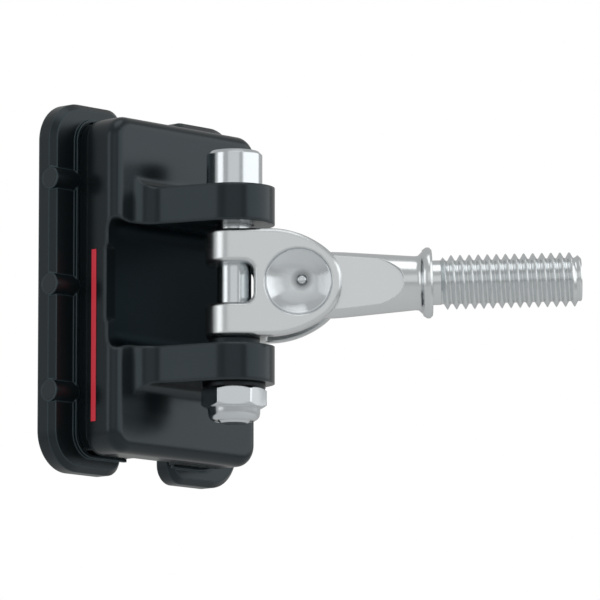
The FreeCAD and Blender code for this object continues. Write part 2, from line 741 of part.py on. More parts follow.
def make_clevis_bolt():
    """A socket head bolt, its head on the upper arm and its end inside the nut."""
    body = new_body("clevis_bolt")
    seat = "(armInner + armThick)"
    end = "(%s + washerThick + nutHeight - boltShort)" % seat
    sketch = new_sketch(body, "BoltProfile", "XZ_Plane")
    draw_outline(sketch, [
        ("0", "-" + end),
        ("boltDiameter / 2 - headBevel", "-" + end),
        ("boltDiameter / 2", "-%s + headBevel" % end),
        ("boltDiameter / 2", seat),
        ("headDiameter / 2", seat),
        ("headDiameter / 2", "%s + headHeight - headBevel" % seat),
        ("headDiameter / 2 - headBevel", "%s + headHeight" % seat),
        ("0", "%s + headHeight" % seat),
    ])
    add_turned(body, sketch, axis="V_Axis")
    socket = new_sketch(body, "SocketOutline", "XY_Plane", "%s + headHeight" % seat)
    draw_outline(socket, hexagon("socketAcross"))
    add_pocket(body, socket, "socketDepth")
    at_bolt(body)
    return body


def make_ring(label, outer, inner, bottom, thick):
    """A flat ring on the clevis bolt."""
    body = new_body(label)
    sketch = new_sketch(body, "RingOutline", "XY_Plane", bottom)
    draw_circle(sketch, "0", "0", outer)
    draw_circle(sketch, "0", "0", inner)
    add_pad(body, sketch, thick)
    at_bolt(body)
    return body


def make_lock_nut():
    """A lock nut, hexagon up against the washer and round collar below."""
    body = new_body("lock_nut")
    top = "(armInner + armThick + washerThick)"
    flats = new_sketch(body, "NutFlats", "XY_Plane", "-" + top)
    draw_outline(flats, hexagon("nutAcross"))
    add_pad(body, flats, "nutHexHeight", reverse=True)
    corner = "nutAcross / sqrt(3)"
    cones = new_sketch(body, "NutCones", "XZ_Plane")
    for level, lean in (("-" + top, "-"), ("-(%s + nutHexHeight)" % top, "+")):
        draw_outline(cones, [
            ("%s - 2 * nutCone" % corner, level),
            ("%s + 1" % corner, level),
            ("%s + 1" % corner, "%s %s nutCone * (1 + 1 / 2 / nutCone)" % (level, lean)),
        ][::-1 if lean == "-" else 1])
    add_turned(body, cones, "PartDesign::Groove", "V_Axis")
    end = "(%s + nutHeight)" % top
    collar = new_sketch(body, "NutCollar", "XZ_Plane")
    bore = "(boltDiameter / 2 + boltGap)"
    draw_outline(collar, [
        (bore, "-(%s + nutHexHeight - 1)" % top),
        (bore, "-" + end),
        ("nutCollar / 2 - nutTaper", "-" + end),
        ("nutCollar / 2", "-%s + nutTaper" % end),
        ("nutCollar / 2", "-(%s + nutHexHeight - 1)" % top),
    ])
    add_turned(body, collar, axis="V_Axis")
    hole = new_sketch(body, "NutBore", "XZ_Plane")
    draw_outline(hole, [
        ("0", "-%s - 1" % end),
        ("insertDiameter / 2 - insertLip", "-%s - 1" % end),
        ("insertDiameter / 2 - insertLip", "-%s + insertLip" % end),
        ("insertDiameter / 2", "-%s + insertLip" % end),
        ("insertDiameter / 2", "-%s + insertLip + insertHeight" % end),
        (bore, "-%s + insertLip + insertHeight" % end),
        (bore, "-%s + 1" % top),
        ("0", "-%s + 1" % top),
    ])
    add_turned(body, hole, "PartDesign::Groove", "V_Axis")
    at_bolt(body, "nutTurn")
    return body


# Toggle: stainless casting that swings on the clevis bolt


def toggle_outline(body):
    """The toggle from the side: a flat top that curves in to a round nose."""
    fall = "(toggleHeight / 2)"
    run = "(crossReach - toggleShoulder)"
    square = "(%s ^ 2 + %s ^ 2 - toggleNose ^ 2)" % (run, fall)
    curve = "(%s / 2 / (%s - toggleNose))" % (square, fall)
    ratio = "(%s / (%s - toggleNose))" % (curve, curve)
    meet_x = "(toggleShoulder + %s * %s)" % (run, ratio)
    meet_z = "(%s - %s + (%s - %s) * %s)" % (fall, curve, curve, fall, ratio)
    sketch = new_sketch(body, "ToggleOutline", "XZ_Plane", "toggleThick / 2")
    draw_outline(sketch, [
        ("-toggleBack", "-" + fall),
        ("toggleShoulder", "-" + fall, curve, 1),
        (meet_x, "-" + meet_z, "toggleNose", 1),
        (meet_x, meet_z, curve, 1),
        ("toggleShoulder", fall),
        ("-toggleBack", fall),
    ])
    add_pad(body, sketch, "toggleThick", reverse=True)


def make_toggle():
    """Two lugs on the clevis bolt, a bridge, and two ears for the stud's eye."""
    body = new_body("toggle")
    toggle_outline(body)
    add_fillet(body, "toggleBackRound", lambda edge: runs_along(edge, "Z"))
    gap = new_sketch(body, "LugGapOutline", "XZ_Plane", "toggleThick / 2 + 1")
    half = "(lugGap / 2)"
    draw_outline(gap, [
        ("-toggleBack - 1", "-" + half),
        ("lugGapEnd - lugGapRound", "-" + half, "lugGapRound", 1),
        ("lugGapEnd", "-%s + lugGapRound" % half),
        ("lugGapEnd", "%s - lugGapRound" % half, "lugGapRound", 1),
        ("lugGapEnd - lugGapRound", half),
        ("-toggleBack - 1", half),
    ])
    add_pocket(body, gap, "toggleThick + 2")
    add_chamfer(body, "toggleEdge", outer_edge)
    slot = new_sketch(body, "EarSlotOutline", "XY_Plane", "-toggleHeight / 2 - 1")
    wide = "(tangThick / 2 + tangPlay)"
    far = "crossReach + toggleNose + 1"
    near_end = "crossReach - eyeRadius - tangClear"
    draw_outline(slot, rectangle(near_end, far, "-" + wide, wide))
    add_pocket(body, slot, "toggleHeight + 2", reverse=True)
    bore = new_sketch(body, "ToggleBoltBore", "XY_Plane", "-toggleHeight / 2 - 1")
    draw_circle(bore, "0", "0", "boltDiameter / 2 + boltGap")
    add_pocket(body, bore, "toggleHeight + 2", reverse=True)
    pin = new_sketch(body, "CrossPinBore", "XZ_Plane", "toggleThick / 2 + 1")
    draw_circle(pin, "crossReach", "0", "crossDiameter / 2")
    add_pocket(body, pin, "toggleThick + 2")
    for side in ("", "-"):
        seat = new_sketch(body, "CrossHeadSeat", "XZ_Plane", side + "toggleThick / 2")
        draw_circle(seat, "crossReach", "0", "crossHead / 2")
        add_pocket(body, seat, "crossHeadThick", reverse=bool(side))
    at_bolt(body, "toggleYaw", TOGGLE_LEVEL)
    return body


def outer_edge(edge):
    """Edges of the toggle's two broad faces."""
    return flat_at(edge, "Y", "toggleThick / 2") or flat_at(edge, "Y", "-toggleThick / 2")


# The toggle hangs on its thrust washer, a little below the middle
TOGGLE_LEVEL = "-(armInner - spacerThick - togglePlay - toggleHeight / 2)"


def at_cross_pin(body, tilt="0"):
    """Place a piece on the cross pin's axis, facing as the toggle does and tilted upwards."""
    body.setExpression("Placement.Base.x", bound("boltReach + crossReach * cos(toggleYaw)"))
    body.setExpression("Placement.Base.y", bound("crossReach * sin(toggleYaw)"))
    body.setExpression("Placement.Base.z", bound(TOGGLE_LEVEL))
    swing = Rotation(Vector(0, 0, 1), measure("toggleYaw"))
    body.Placement.Rotation = swing * Rotation(Vector(0, 1, 0), -measure(tilt))


def make_cross_pin():
    """The pin through the ears, with a flush dished head at each end."""
    body = new_body("cross_pin")
    sketch = new_sketch(body, "CrossPinProfile", "XY_Plane")
    face = "(toggleThick / 2)"
    rim = "(crossHead / 2 - crossRim)"
    slope = "(dishDepth / (%s - dishNub))" % rim
    draw_outline(sketch, [
        ("0", "-(%s - dishDepth)" % face),
        ("nubRadius", "-(%s - dishDepth)" % face),
        ("(nubRadius + dishNub) / 2", "-(%s - dishDepth - nubRadius / 2)" % face),
        ("dishNub", "-(%s - dishDepth)" % face),
        (rim, "-" + face),
        ("crossHead / 2", "-" + face),
        ("crossHead / 2", "-(%s - crossHeadThick)" % face),
        ("crossDiameter / 2", "-(%s - crossHeadThick)" % face),
        ("crossDiameter / 2", "%s - crossHeadThick" % face),
        ("crossHead / 2", "%s - crossHeadThick" % face),
        ("crossHead / 2", face),
        (rim, face),
        ("dishNub", "%s - dishDepth" % face),
        ("(nubRadius + dishNub) / 2", "%s - dishDepth - nubRadius / 2" % face),
        ("nubRadius", "%s - dishDepth" % face),
        ("0", "%s - dishDepth" % face),
    ])
    add_turned(body, sketch, axis="V_Axis")
    at_cross_pin(body)
    return body


# Threaded stud for the batten's end


def make_stud():
    """A flat eye on the cross pin, a tapered neck, a collar and the thread's plain outside."""
    body = new_body("stud")
    profile = new_sketch(body, "StudProfile", "XZ_Plane")
    collar_end = "(collarStart + collarThick)"
    start = "(%s + reliefLength)" % collar_end
    end = "(%s + threadLength)" % start
    draw_outline(profile, [
        ("0", "0"),
        (end, "0"),
        (end, "threadDiameter / 2 - threadChamfer"),
        (end + " - threadChamfer", "threadDiameter / 2"),
        (start, "threadDiameter / 2"),
        (start, "reliefDiameter / 2"),
        (collar_end, "reliefDiameter / 2"),
        (collar_end, "collarDiameter / 2"),
        ("collarStart", "collarDiameter / 2"),
        ("neckLength", "neckEnd"),
        ("neckShoulder", "neckStart"),
        ("0", "eyeRadius"),
    ])
    add_turned(body, profile)
    eye = new_sketch(body, "EyeOutline", "XZ_Plane", "tangThick / 2")
    draw_circle(eye, "0", "0", "eyeRadius")
    add_pad(body, eye, "tangThick", reverse=True)
    wide = "collarDiameter"
    swing = "(tangSide - tangTip)"
    start_x = "(tangEnd - tangTip - %s * cos(tangTurn))" % swing
    start_z = "(tangSide - %s * sin(tangTurn))" % swing
    meet_x = "(tangEnd - tangTip + tangTip * cos(tangTurn))"
    meet_z = "(tangTip * sin(tangTurn))"
    for side in ("", "-"):
        flat = new_sketch(body, "FlatOutline", "XZ_Plane", side + "tangThick / 2")
        draw_outline(flat, [
            ("-" + wide, "-" + wide),
            (start_x, "-" + wide),
            (start_x, "-" + start_z, "tangSide", 1),
            (meet_x, "-" + meet_z, "tangTip", 1),
            (meet_x, meet_z, "tangSide", 1),
            (start_x, start_z),
            (start_x, wide),
            ("-" + wide, wide),
        ])
        add_pocket(body, flat, wide, reverse=not side)
    bore = new_sketch(body, "EyeBore", "XZ_Plane", wide)
    draw_circle(bore, "0", "0", "crossDiameter / 2 + crossGap")
    add_pocket(body, bore, "2 * " + wide)
    at_cross_pin(body, "studTilt")
    return body


# Red stripe on the left side


def make_side_stripe():
    """A thin stripe on the car body's left side face."""
    body = new_body("side_stripe")
    sketch = new_sketch(body, "StripeOutline", "XZ_Plane", "bodyHalfWidth")
    low = "stripeLevel - stripeWidth / 2"
    high = "stripeLevel + stripeWidth / 2"
    draw_outline(sketch, rectangle(low, high, "-stripeLow", "stripeLength - stripeLow"))
    add_pad(body, sketch, "stripeThick")
    return body


# All the pieces, in order of assembly


def make_pieces():
    """Make every piece and return the list of them."""
    left_pieces = [
        make_housing("left_housing"),
        make_race_cover("left_race_cover"),
        make_balls("left_balls"),
        make_pins("left_housing_pins"),
    ]
    for piece in left_pieces:
        mirror_to_left(piece)
    pieces = [make_car_body()] + left_pieces
    pieces.append(make_housing("right_housing"))
    pieces.append(make_race_cover("right_race_cover"))
    pieces.append(make_balls("right_balls"))
    pieces.append(make_pins("right_housing_pins"))
    pieces.append(make_clevis_bolt())
    under_arm = "armInner + armThick + washerThick"
    bolt_hole = "boltDiameter / 2 + washerGap"
    rim = "washerDiameter / 2"
    pieces.append(make_ring("nut_washer", rim, bolt_hole, "-(%s)" % under_arm, "washerThick"))
    rim = "spacerDiameter / 2"
    pieces.append(make_ring("thrust_washer", rim, bolt_hole, "-armInner", "spacerThick"))
    pieces.append(make_lock_nut())
    rim = "insertDiameter / 2"
    bore = "boltDiameter / 2 + boltGap"
    insert_end = "(%s + nutHeight - insertLip)" % under_arm
    pieces.append(make_ring("nut_insert", rim, bore, "-" + insert_end, "insertHeight"))
    pieces.append(make_toggle())
    pieces.append(make_cross_pin())
    pieces.append(make_stud())
    pieces.append(make_side_stripe())
    return pieces


def check(pieces):
    """Stop unless every object computed and every piece has a sound shape."""
    document.recompute()
    for item in document.Objects:
        if any(word in item.State for word in ("Invalid", "Error")):
            raise RuntimeError("%s failed: %s" % (item.Label, item.State))
    for piece in pieces:
        if piece.Shape.isNull() or not piece.Shape.isValid():
            raise RuntimeError(piece.Label + " has no sound shape")


pieces = make_pieces()
check(pieces)
os.makedirs("parts", exist_ok=True)
for piece in pieces:
    piece.Shape.exportStep("parts/%s.step" % piece.Label)
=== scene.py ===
import json
import math

import bmesh
import bpy
from mathutils import Matrix, Vector


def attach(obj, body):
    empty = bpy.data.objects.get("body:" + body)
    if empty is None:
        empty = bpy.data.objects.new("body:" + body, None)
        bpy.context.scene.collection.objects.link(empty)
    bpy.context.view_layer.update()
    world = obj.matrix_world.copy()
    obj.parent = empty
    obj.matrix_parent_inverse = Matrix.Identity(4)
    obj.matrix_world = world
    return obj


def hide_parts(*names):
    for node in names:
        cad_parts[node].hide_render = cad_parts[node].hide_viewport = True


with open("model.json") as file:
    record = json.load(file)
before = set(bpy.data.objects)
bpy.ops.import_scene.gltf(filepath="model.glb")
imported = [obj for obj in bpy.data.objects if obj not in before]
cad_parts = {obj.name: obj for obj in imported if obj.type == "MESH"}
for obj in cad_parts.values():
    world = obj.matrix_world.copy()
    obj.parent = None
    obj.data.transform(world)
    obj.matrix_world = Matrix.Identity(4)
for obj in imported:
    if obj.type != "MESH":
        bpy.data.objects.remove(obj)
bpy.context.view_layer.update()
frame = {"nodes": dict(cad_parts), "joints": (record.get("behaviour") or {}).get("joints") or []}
nodes = frame["nodes"]


# Car body
# A block of aluminium with two clevis arms, machined all over, tumbled and anodised black.
# The skirts hold the ball housings and the arms carry the clevis bolt.

class Value:
    """A number, colour or vector that a material works out at each point of a surface."""

    def __init__(self, tree, socket=None):
        self.tree = tree
        self.socket = socket

    def node(self, kind, inputs=None, output=0, **settings):
        """Add a node with its settings, feed its sockets and give one of its outputs."""
        node = self.tree.nodes.new(kind)
        for name, value in settings.items():
            setattr(node, name, value)
        for name, value in (inputs or {}).items():
            if isinstance(value, Value):
                self.tree.links.new(value.socket, node.inputs[name])
            else:
                node.inputs[name].default_value = value
        return Value(self.tree, node.outputs[output])

    def math(self, operation, first, second=None):
        """A Math node on two numbers or values."""
        inputs = {0: first}
        if second is not None:
            inputs[1] = second
        return self.node("ShaderNodeMath", inputs, operation=operation)

    def __add__(self, other):
        return self.math("ADD", self, other)

    def __radd__(self, other):
        return self.math("ADD", other, self)

    def __sub__(self, other):
        return self.math("SUBTRACT", self, other)

    def __rsub__(self, other):
        return self.math("SUBTRACT", other, self)

    def __mul__(self, other):
        return self.math("MULTIPLY", self, other)

    def __rmul__(self, other):
        return self.math("MULTIPLY", other, self)


def new_finish(name):
    """An empty material, its shader and the start of its shader maths."""
    finish = bpy.data.materials.new(name)
    finish.use_nodes = True
    return finish, finish.node_tree.nodes["Principled BSDF"], Value(finish.node_tree)


def place_of(start, scale):
    """Object coordinates in units of a scale, in metres."""
    place = start.node("ShaderNodeTexCoord", output="Object")
    return place.node("ShaderNodeVectorMath", {0: place, "Scale": 1 / scale}, operation="SCALE")


def noise(start, scale, detail=2.0):
    """Noise whose grains are about a scale across, in metres."""
    inputs = {"Vector": place_of(start, scale), "Scale": 1.0, "Detail": detail}
    return start.node("ShaderNodeTexNoise", inputs, output="Fac")


def mix(start, share, first, second):
    """A colour part-way between two, by a share from 0 to 1."""
    inputs = {"Factor": share, 6: first, 7: second}
    return start.node("ShaderNodeMix", inputs, output=2, data_type="RGBA")


def feed(shader, name, value):
    """Link a value to one of the shader's sockets."""
    value.tree.links.new(value.socket, shader.inputs[name])


EDGE_FULL = 0.12


def soft_edges(start, radius):
    """The surface's direction with its edges rounded off, and a mask that is 1 on those edges."""
    rounded = start.node("ShaderNodeBevel", {"Radius": radius}, samples=6)
    plain = start.node("ShaderNodeNewGeometry", output="Normal")
    inputs = {0: rounded, 1: plain}
    likeness = start.node("ShaderNodeVectorMath", inputs, output="Value", operation="DOT_PRODUCT")
    mask = start.node("ShaderNodeMapRange", {"Value": 1 - likeness, "From Max": EDGE_FULL})
    return rounded, mask


def fine_bump(start, shader, height, strength, depth, under=None):
    """A shallow relief on the surface, over the rounded edges if they are given."""
    inputs = {"Height": height, "Strength": strength, "Distance": depth}
    if under:
        inputs["Normal"] = under
    feed(shader, "Normal", start.node("ShaderNodeBump", inputs))


def soften(node, degrees=35):
    """Shade a mesh smoothly except over its sharp edges."""
    mesh = node.data
    mesh.polygons.foreach_set("use_smooth", [True] * len(mesh.polygons))
    mesh.set_sharp_from_angle(angle=math.radians(degrees))


def dress(name, finish):
    """Give a CAD node its finish and smooth shading."""
    node = nodes[name]
    node.data.materials.clear()
    node.data.materials.append(finish)
    soften(node)


def inside(start, axis, limit, blend=0.0005):
    """A mask that is 1 where a coordinate is nearer the middle than a limit, in metres."""
    place = start.node("ShaderNodeTexCoord", output="Object")
    reach = start.math("ABSOLUTE", start.node("ShaderNodeSeparateXYZ", {0: place}, output=axis))
    inputs = {"Value": reach, "From Min": limit, "From Max": limit - blend}
    return start.node("ShaderNodeMapRange", inputs)


BODY_FRONT = 0.0131
RECESS_DEEP = 0.0088
RECESS_ACROSS = 0.0183
RECESS_HALF_HEIGHT = 0.0116
BODY_EDGE = 0.0009
ANODISED_DARK = (0.0025, 0.0042, 0.005, 1)
ANODISED_LIGHT = (0.0045, 0.007, 0.008, 1)
EDGE_WEAR_AND_HIGHLIGHT = (0.065, 0.076, 0.082, 1)
COOL_SHEEN = (0.7, 0.86, 0.94, 1)
SHEEN_LEVEL = 0.55


def anodised_black():
    """Satin black anodising. The milled recess is rougher and carries painted shade as a
    near-black metallic sheen. The edges are lighter, partly from tumbling wear and partly as a
    painted highlight.
    """
    finish, shader, start = new_finish("black_anodising")
    # Mask of the recess between the arms, where painted shade darkens the sheen.
    recess_shade = inside(start, "X", BODY_FRONT) * (1 - inside(start, "X", RECESS_DEEP))
    recess_shade = recess_shade * inside(start, "Y", RECESS_ACROSS, 0.0004)
    recess_shade = recess_shade * inside(start, "Z", RECESS_HALF_HEIGHT, 0.0006)
    cloud = noise(start, 0.011, 3)
    grain = noise(start, 0.00022)
    rounded, edge = soft_edges(start, BODY_EDGE)
    plain = mix(start, cloud, ANODISED_DARK, ANODISED_LIGHT)
    # Lighter edges: partly tumbling wear, partly a painted highlight.
    feed(shader, "Base Color", mix(start, 0.6 * edge, plain, EDGE_WEAR_AND_HIGHLIGHT))
    feed(shader, "Roughness", 0.17 + 0.08 * cloud + 0.04 * grain - 0.03 * edge + 0.22 * recess_shade)
    # The near-black metallic sheen in the recess is painted shade. The added roughness there is
    # the recess's own duller finish.
    feed(shader, "Metallic", 0.9 * recess_shade)
    shader.inputs["Specular IOR Level"].default_value = SHEEN_LEVEL
    shader.inputs["Specular Tint"].default_value = COOL_SHEEN
    fine_bump(start, shader, grain, 0.1, 0.00003, rounded)
    return finish


dress("car_body", anodised_black())


# Ball housings and race covers
# Black glass-filled nylon mouldings, one pair each side of the track slot.
# They are pressed into the car body's bay and held by the retaining pins.

def satin_polymer(name, dark, light, rough, edge_radius=0.0004, edge_gain=1.5):
    """Smooth plastic or paint with a slightly uneven gloss and soft edges that are lightened as a
    painted highlight.
    """
    finish, shader, start = new_finish(name)
    cloud = noise(start, 0.009, 3)
    grain = noise(start, 0.0004)
    rounded, edge = soft_edges(start, edge_radius)
    plain = mix(start, cloud, (*dark, 1), (*light, 1))
    # The lighter edge colour is a painted highlight, brighter with a higher edge_gain.
    edge_highlight = (*[edge_gain * part for part in light], 1)
    feed(shader, "Base Color", mix(start, 0.5 * edge, plain, edge_highlight))
    feed(shader, "Roughness", rough + 0.08 * cloud + 0.05 * grain)
    shader.inputs["Specular IOR Level"].default_value = SHEEN_LEVEL
    shader.inputs["Specular Tint"].default_value = COOL_SHEEN
    fine_bump(start, shader, grain, 0.08, 0.00004, rounded)
    return finish


# The housings' edges get a strong painted highlight.
housing_black = satin_polymer(
    "housing_black",
    (0.0016, 0.0028, 0.0034),
    (0.003, 0.005, 0.0058),
    rough=0.24,
    edge_gain=26,
)
cover_black = satin_polymer(
    "cover_black", (0.006, 0.0075, 0.0085), (0.009, 0.011, 0.012), rough=0.4
)
for side in ("left", "right"):
    dress(side + "_housing", housing_black)
    dress(side + "_race_cover", cover_black)


# Balls
# Smooth bearing balls of tough polymer, captive in the closed race of each housing.
# They are tumbled to size, so they are plain and slightly glossy.

BALL_RADIUS = 0.00238
SAME_POINT = 1e-6
ball_polymer = satin_polymer("ball_polymer", (0.3, 0.26, 0.12), (0.36, 0.32, 0.15), rough=0.3)


def ball_centres(node):
    """The middles of the balls in a CAD node, one for each of its separate solids, sorted."""
    form = bmesh.new()
    form.from_mesh(node.data)
    bmesh.ops.remove_doubles(form, verts=form.verts, dist=SAME_POINT)
    waiting = set(form.verts)
    centres = []
    while waiting:
        group = [waiting.pop()]
        for vertex in group:
            for edge in vertex.link_edges:
                other = edge.other_vert(vertex)
                if other in waiting:
                    waiting.discard(other)
                    group.append(other)
        lows = [min(vertex.co[axis] for vertex in group) for axis in range(3)]
        highs = [max(vertex.co[axis] for vertex in group) for axis in range(3)]
        centres.append([(low + high) / 2 for low, high in zip(lows, highs)])
    form.free()
    return sorted(centres)


def new_item(name, form):
    """An object made from a mesh under construction, with its faces turned outwards."""
    bmesh.ops.recalc_face_normals(form, faces=form.faces)
    mesh = bpy.data.meshes.new(name)
    form.to_mesh(mesh)
    form.free()
    item = bpy.data.objects.new(name, mesh)
    bpy.context.scene.collection.objects.link(item)
    return item


def fit_piece(item, finish, body, degrees):
    """Give a new piece its finish and shading, and let it move with a body."""
    item.data.materials.clear()
    item.data.materials.append(finish)
    soften(item, degrees)
    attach(item, body)


for side in ("left", "right"):
    balls = bmesh.new()
    for centre in ball_centres(nodes[side + "_balls"]):
        place = Matrix.Translation(Vector(centre))
        bmesh.ops.create_icosphere(balls, subdivisions=3, radius=BALL_RADIUS, matrix=place)
    item = new_item(side + "_smooth_balls", balls)
    fit_piece(item, ball_polymer, "car", degrees=60)
    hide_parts(side + "_balls")


# Retaining pins
# Short moulded pins with flat heads, three on each side, black like the housings.
# They are pushed through the flange's ribs into the car body's skirts.

pin_black = satin_polymer(
    "pin_black",
    (0.006, 0.008, 0.009),
    (0.009, 0.0115, 0.0125),
    rough=0.36,
    edge_radius=0.0003,
)
dress("left_housing_pins", pin_black)
dress("right_housing_pins", pin_black)


# Clevis bolt, lock nut and washers
# A bright stainless M6 socket cap screw with a lock nut under the lower arm and a thin washer.
# The toggle turns on a black thrust washer that lies on the lower arm.

def bright_steel(name, tint, rough, scratch, edge_radius=0.0003, relief=0.06):
    """Bright stainless steel with a soft, slightly uneven polish."""
    finish, shader, start = new_finish(name)
    cloud = noise(start, 0.004, 3)
    marks = noise(start, 0.0003, 3)
    rounded, edge = soft_edges(start, edge_radius)
    light = tuple(min(1, 1.05 * part) for part in tint)
    feed(shader, "Base Color", mix(start, cloud, (*tint, 1), (*light, 1)))
    feed(shader, "Roughness", rough + 0.06 * cloud + scratch * marks - 0.04 * edge)
    shader.inputs["Metallic"].default_value = 1.0
    fine_bump(start, shader, marks, relief, 0.00002, rounded)
    return finish


fastener_steel = bright_steel("fastener_steel", (0.68, 0.72, 0.74), rough=0.12, scratch=0.05)
dress("clevis_bolt", fastener_steel)
blackened_steel = bright_steel("blackened_steel", (0.03, 0.034, 0.037), rough=0.3, scratch=0.05)
dress("nut_washer", blackened_steel)
thrust_black = satin_polymer(
    "thrust_black", (0.006, 0.008, 0.009), (0.01, 0.012, 0.013), rough=0.35
)
dress("thrust_washer", thrust_black)


def lathe(profile, steps):
    """A closed mesh turned about X from points of place along X and radius."""
    form = bmesh.new()
    rings = []
    for along, radius in profile:
        rings.append([
            form.verts.new((
                along,
                radius * math.cos(math.tau * step / steps),
                radius * math.sin(math.tau * step / steps),
            ))
            for step in range(steps)
        ])
    for first, second in zip(rings, rings[1:]):
        for step in range(steps):
            after = (step + 1) % steps
            form.faces.new((first[step], second[step], second[after], first[after]))
    form.faces.new(rings[0])
    form.faces.new(rings[-1][::-1])
    return form


def prism(outline, low, high):
    """A closed mesh with an outline in X and Z, from one level of Y to another."""
    form = bmesh.new()
    rows = [[form.verts.new((x, level, z)) for x, z in outline] for level in (low, high)]
    form.faces.new(rows[0])
    form.faces.new(rows[1][::-1])
    for number in range(len(outline)):
        after = (number + 1) % len(outline)
        form.faces.new((rows[0][number], rows[1][number], rows[1][after], rows[0][after]))
    return form


def carve(item, tool, operation="DIFFERENCE"):
    """Cut a tool out of an item, or weld it on, and take the tool away."""
    change = item.modifiers.new("carve", "BOOLEAN")
    change.operation = operation
    change.solver = "EXACT"
    change.object = tool
    shape = item.evaluated_get(bpy.context.evaluated_depsgraph_get())
    item.data = bpy.data.meshes.new_from_object(shape)
    item.modifiers.clear()
    bpy.data.objects.remove(tool)


NUT_TOP = -0.01805
NUT_CORNER = 0.005 / math.cos(math.pi / 6)
NUT_CORNER_ROUND = 0.0004
NUT_SIDE = 0.0034
NUT_COLLAR_START = 0.0028
NUT_BORE = 0.00305
INSERT_SEAT = 0.0037
INSERT_LIP = 0.0034
NUT_TURN = math.radians(43)
FINE_ROUND = 96
PLAIN_ROUND = 64


def rounded_hexagon(corner, radius):
    """The outline of a hexagon with rounded corners, by its corner distance."""
    points = []
    centre = corner - radius / math.cos(math.pi / 6)
    for number in range(6):
        middle = math.radians(30 + 60 * number)
        for step in range(-3, 4):
            turn = middle + math.radians(10 * step)
            points.append((
                centre * math.cos(middle) + radius * math.cos(turn),
                centre * math.sin(middle) + radius * math.sin(turn),
            ))
    return points


# The nut's hexagon has bevelled corners, and its round collar holds a nylon ring.
hexagon = rounded_hexagon(NUT_CORNER, NUT_CORNER_ROUND)
nut = new_item("hexagon_lock_nut", prism(hexagon, 0, NUT_SIDE))
nut.data.transform(Matrix.Rotation(-math.pi / 2, 4, "Z"))
bevel = lathe([
    (-0.0001, 0.0048),
    (0.0005, 0.0058),
    (NUT_SIDE - 0.0006, 0.006),
    (NUT_SIDE + 0.0001, 0.0048),
], FINE_ROUND)
carve(nut, new_item("nut_bevel", bevel), "INTERSECT")
collar = lathe([
    (NUT_COLLAR_START, NUT_BORE),
    (NUT_COLLAR_START, 0.0046),
    (0.0034, 0.00466),
    (0.0038, 0.00458),
    (0.0045, 0.00455),
    (0.005, 0.00442),
    (0.0054, 0.0041),
    (0.00568, 0.00365),
    (0.0058, 0.0032),
    (0.00578, NUT_BORE),
    (0.0056, NUT_BORE),
], FINE_ROUND)
carve(nut, new_item("nut_collar", collar), "UNION")
bore = lathe([
    (-0.001, NUT_BORE),
    (0.004, NUT_BORE),
    (0.0045, INSERT_SEAT),
    (0.0055, INSERT_SEAT),
    (0.0056, INSERT_LIP),
    (0.007, INSERT_LIP),
], PLAIN_ROUND)
carve(nut, new_item("nut_bore", bore))
bolt_joint = next(joint for joint in frame["joints"] if joint["name"] == "toggle_swing")
bolt_x = bolt_joint["pos_m"][0]
hang = Matrix.Translation(Vector((bolt_x, 0, NUT_TOP))) @ Matrix.Rotation(NUT_TURN, 4, "Z")
hang = hang @ Matrix.Rotation(math.pi / 2, 4, "Y")
nut.data.transform(hang)
fit_piece(nut, fastener_steel, "car", degrees=25)
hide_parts("lock_nut")

natural_nylon = satin_polymer(
    "natural_nylon", (0.56, 0.56, 0.52), (0.66, 0.66, 0.61), rough=0.4
)
ring = new_item("nylon_ring", lathe([
    (0.0041, NUT_BORE),
    (0.0041, 0.0035),
    (0.0046, 0.00368),
    (0.0054, 0.00368),
    (0.00555, 0.00335),
    (0.00552, NUT_BORE),
], PLAIN_ROUND))
ring.data.transform(hang)
fit_piece(ring, natural_nylon, "car", degrees=30)
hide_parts("nut_insert")


# Toggle
# Investment-cast stainless steel with two lugs on the clevis bolt and two ears for the stud.
# It is ground flat on its sides, rounded along its rim and polished.

toggle_steel = bright_steel(
    "toggle_steel",
    (0.72, 0.75, 0.76),
    rough=0.2,
    scratch=0.04,
    edge_radius=0.0005,
    relief=0.03,
)
dress("toggle", toggle_steel)


# Cross pin
# A stainless rivet through the toggle's ears, turned, with a dished head flush at each end.
# The dish is struck by the riveting tool, whose centre leaves a small nub.

PIN_FACE = 0.0061
HEAD_RADIUS = 0.0059
HEAD_THICK = 0.0011
HEAD_BEVEL = 0.00022
RIM_INNER = 0.0055
DISH_DEPTH = 0.00125
NUB_FOOT = 0.00105
NUB_TOP = 0.0005
NUB_HEIGHT = 0.0006
NUB_ASIDE = 0.0006
NUB_RAISED = 0.0004
NUB_CALM = 0.004
DISH_STEPS = 14
NUB_STEPS = 10
SHANK_RADIUS = 0.0025


def head_profile():
    """A head's section, from the shank out and over the rim to the nub."""
    points = [
        (PIN_FACE - HEAD_THICK, SHANK_RADIUS),
        (PIN_FACE - HEAD_THICK, HEAD_RADIUS),
        (PIN_FACE - HEAD_BEVEL, HEAD_RADIUS),
        (PIN_FACE - HEAD_BEVEL / 4, HEAD_RADIUS - HEAD_BEVEL),
        (PIN_FACE, HEAD_RADIUS - 1.3 * HEAD_BEVEL),
        (PIN_FACE, RIM_INNER + 0.00004),
        (PIN_FACE - 0.00002, RIM_INNER),
    ]
    bowl = (RIM_INNER ** 2 + DISH_DEPTH ** 2) / 2 / DISH_DEPTH
    for step in range(1, DISH_STEPS + 1):
        radius = RIM_INNER + (NUB_FOOT - RIM_INNER) * step / DISH_STEPS
        depth = DISH_DEPTH - bowl + math.sqrt(bowl ** 2 - radius ** 2)
        points.append((PIN_FACE - depth, radius))
    floor = points[-1][0]
    for step in range(1, NUB_STEPS + 1):
        radius = NUB_FOOT + (NUB_TOP - NUB_FOOT) * step / NUB_STEPS
        rise = (1 - math.cos(math.pi * step / NUB_STEPS)) / 2
        points.append((floor + NUB_HEIGHT * rise, radius))
    points.append((floor + 1.06 * NUB_HEIGHT, 0.00025))
    points.append((floor + 1.08 * NUB_HEIGHT, 0.00002))
    return points


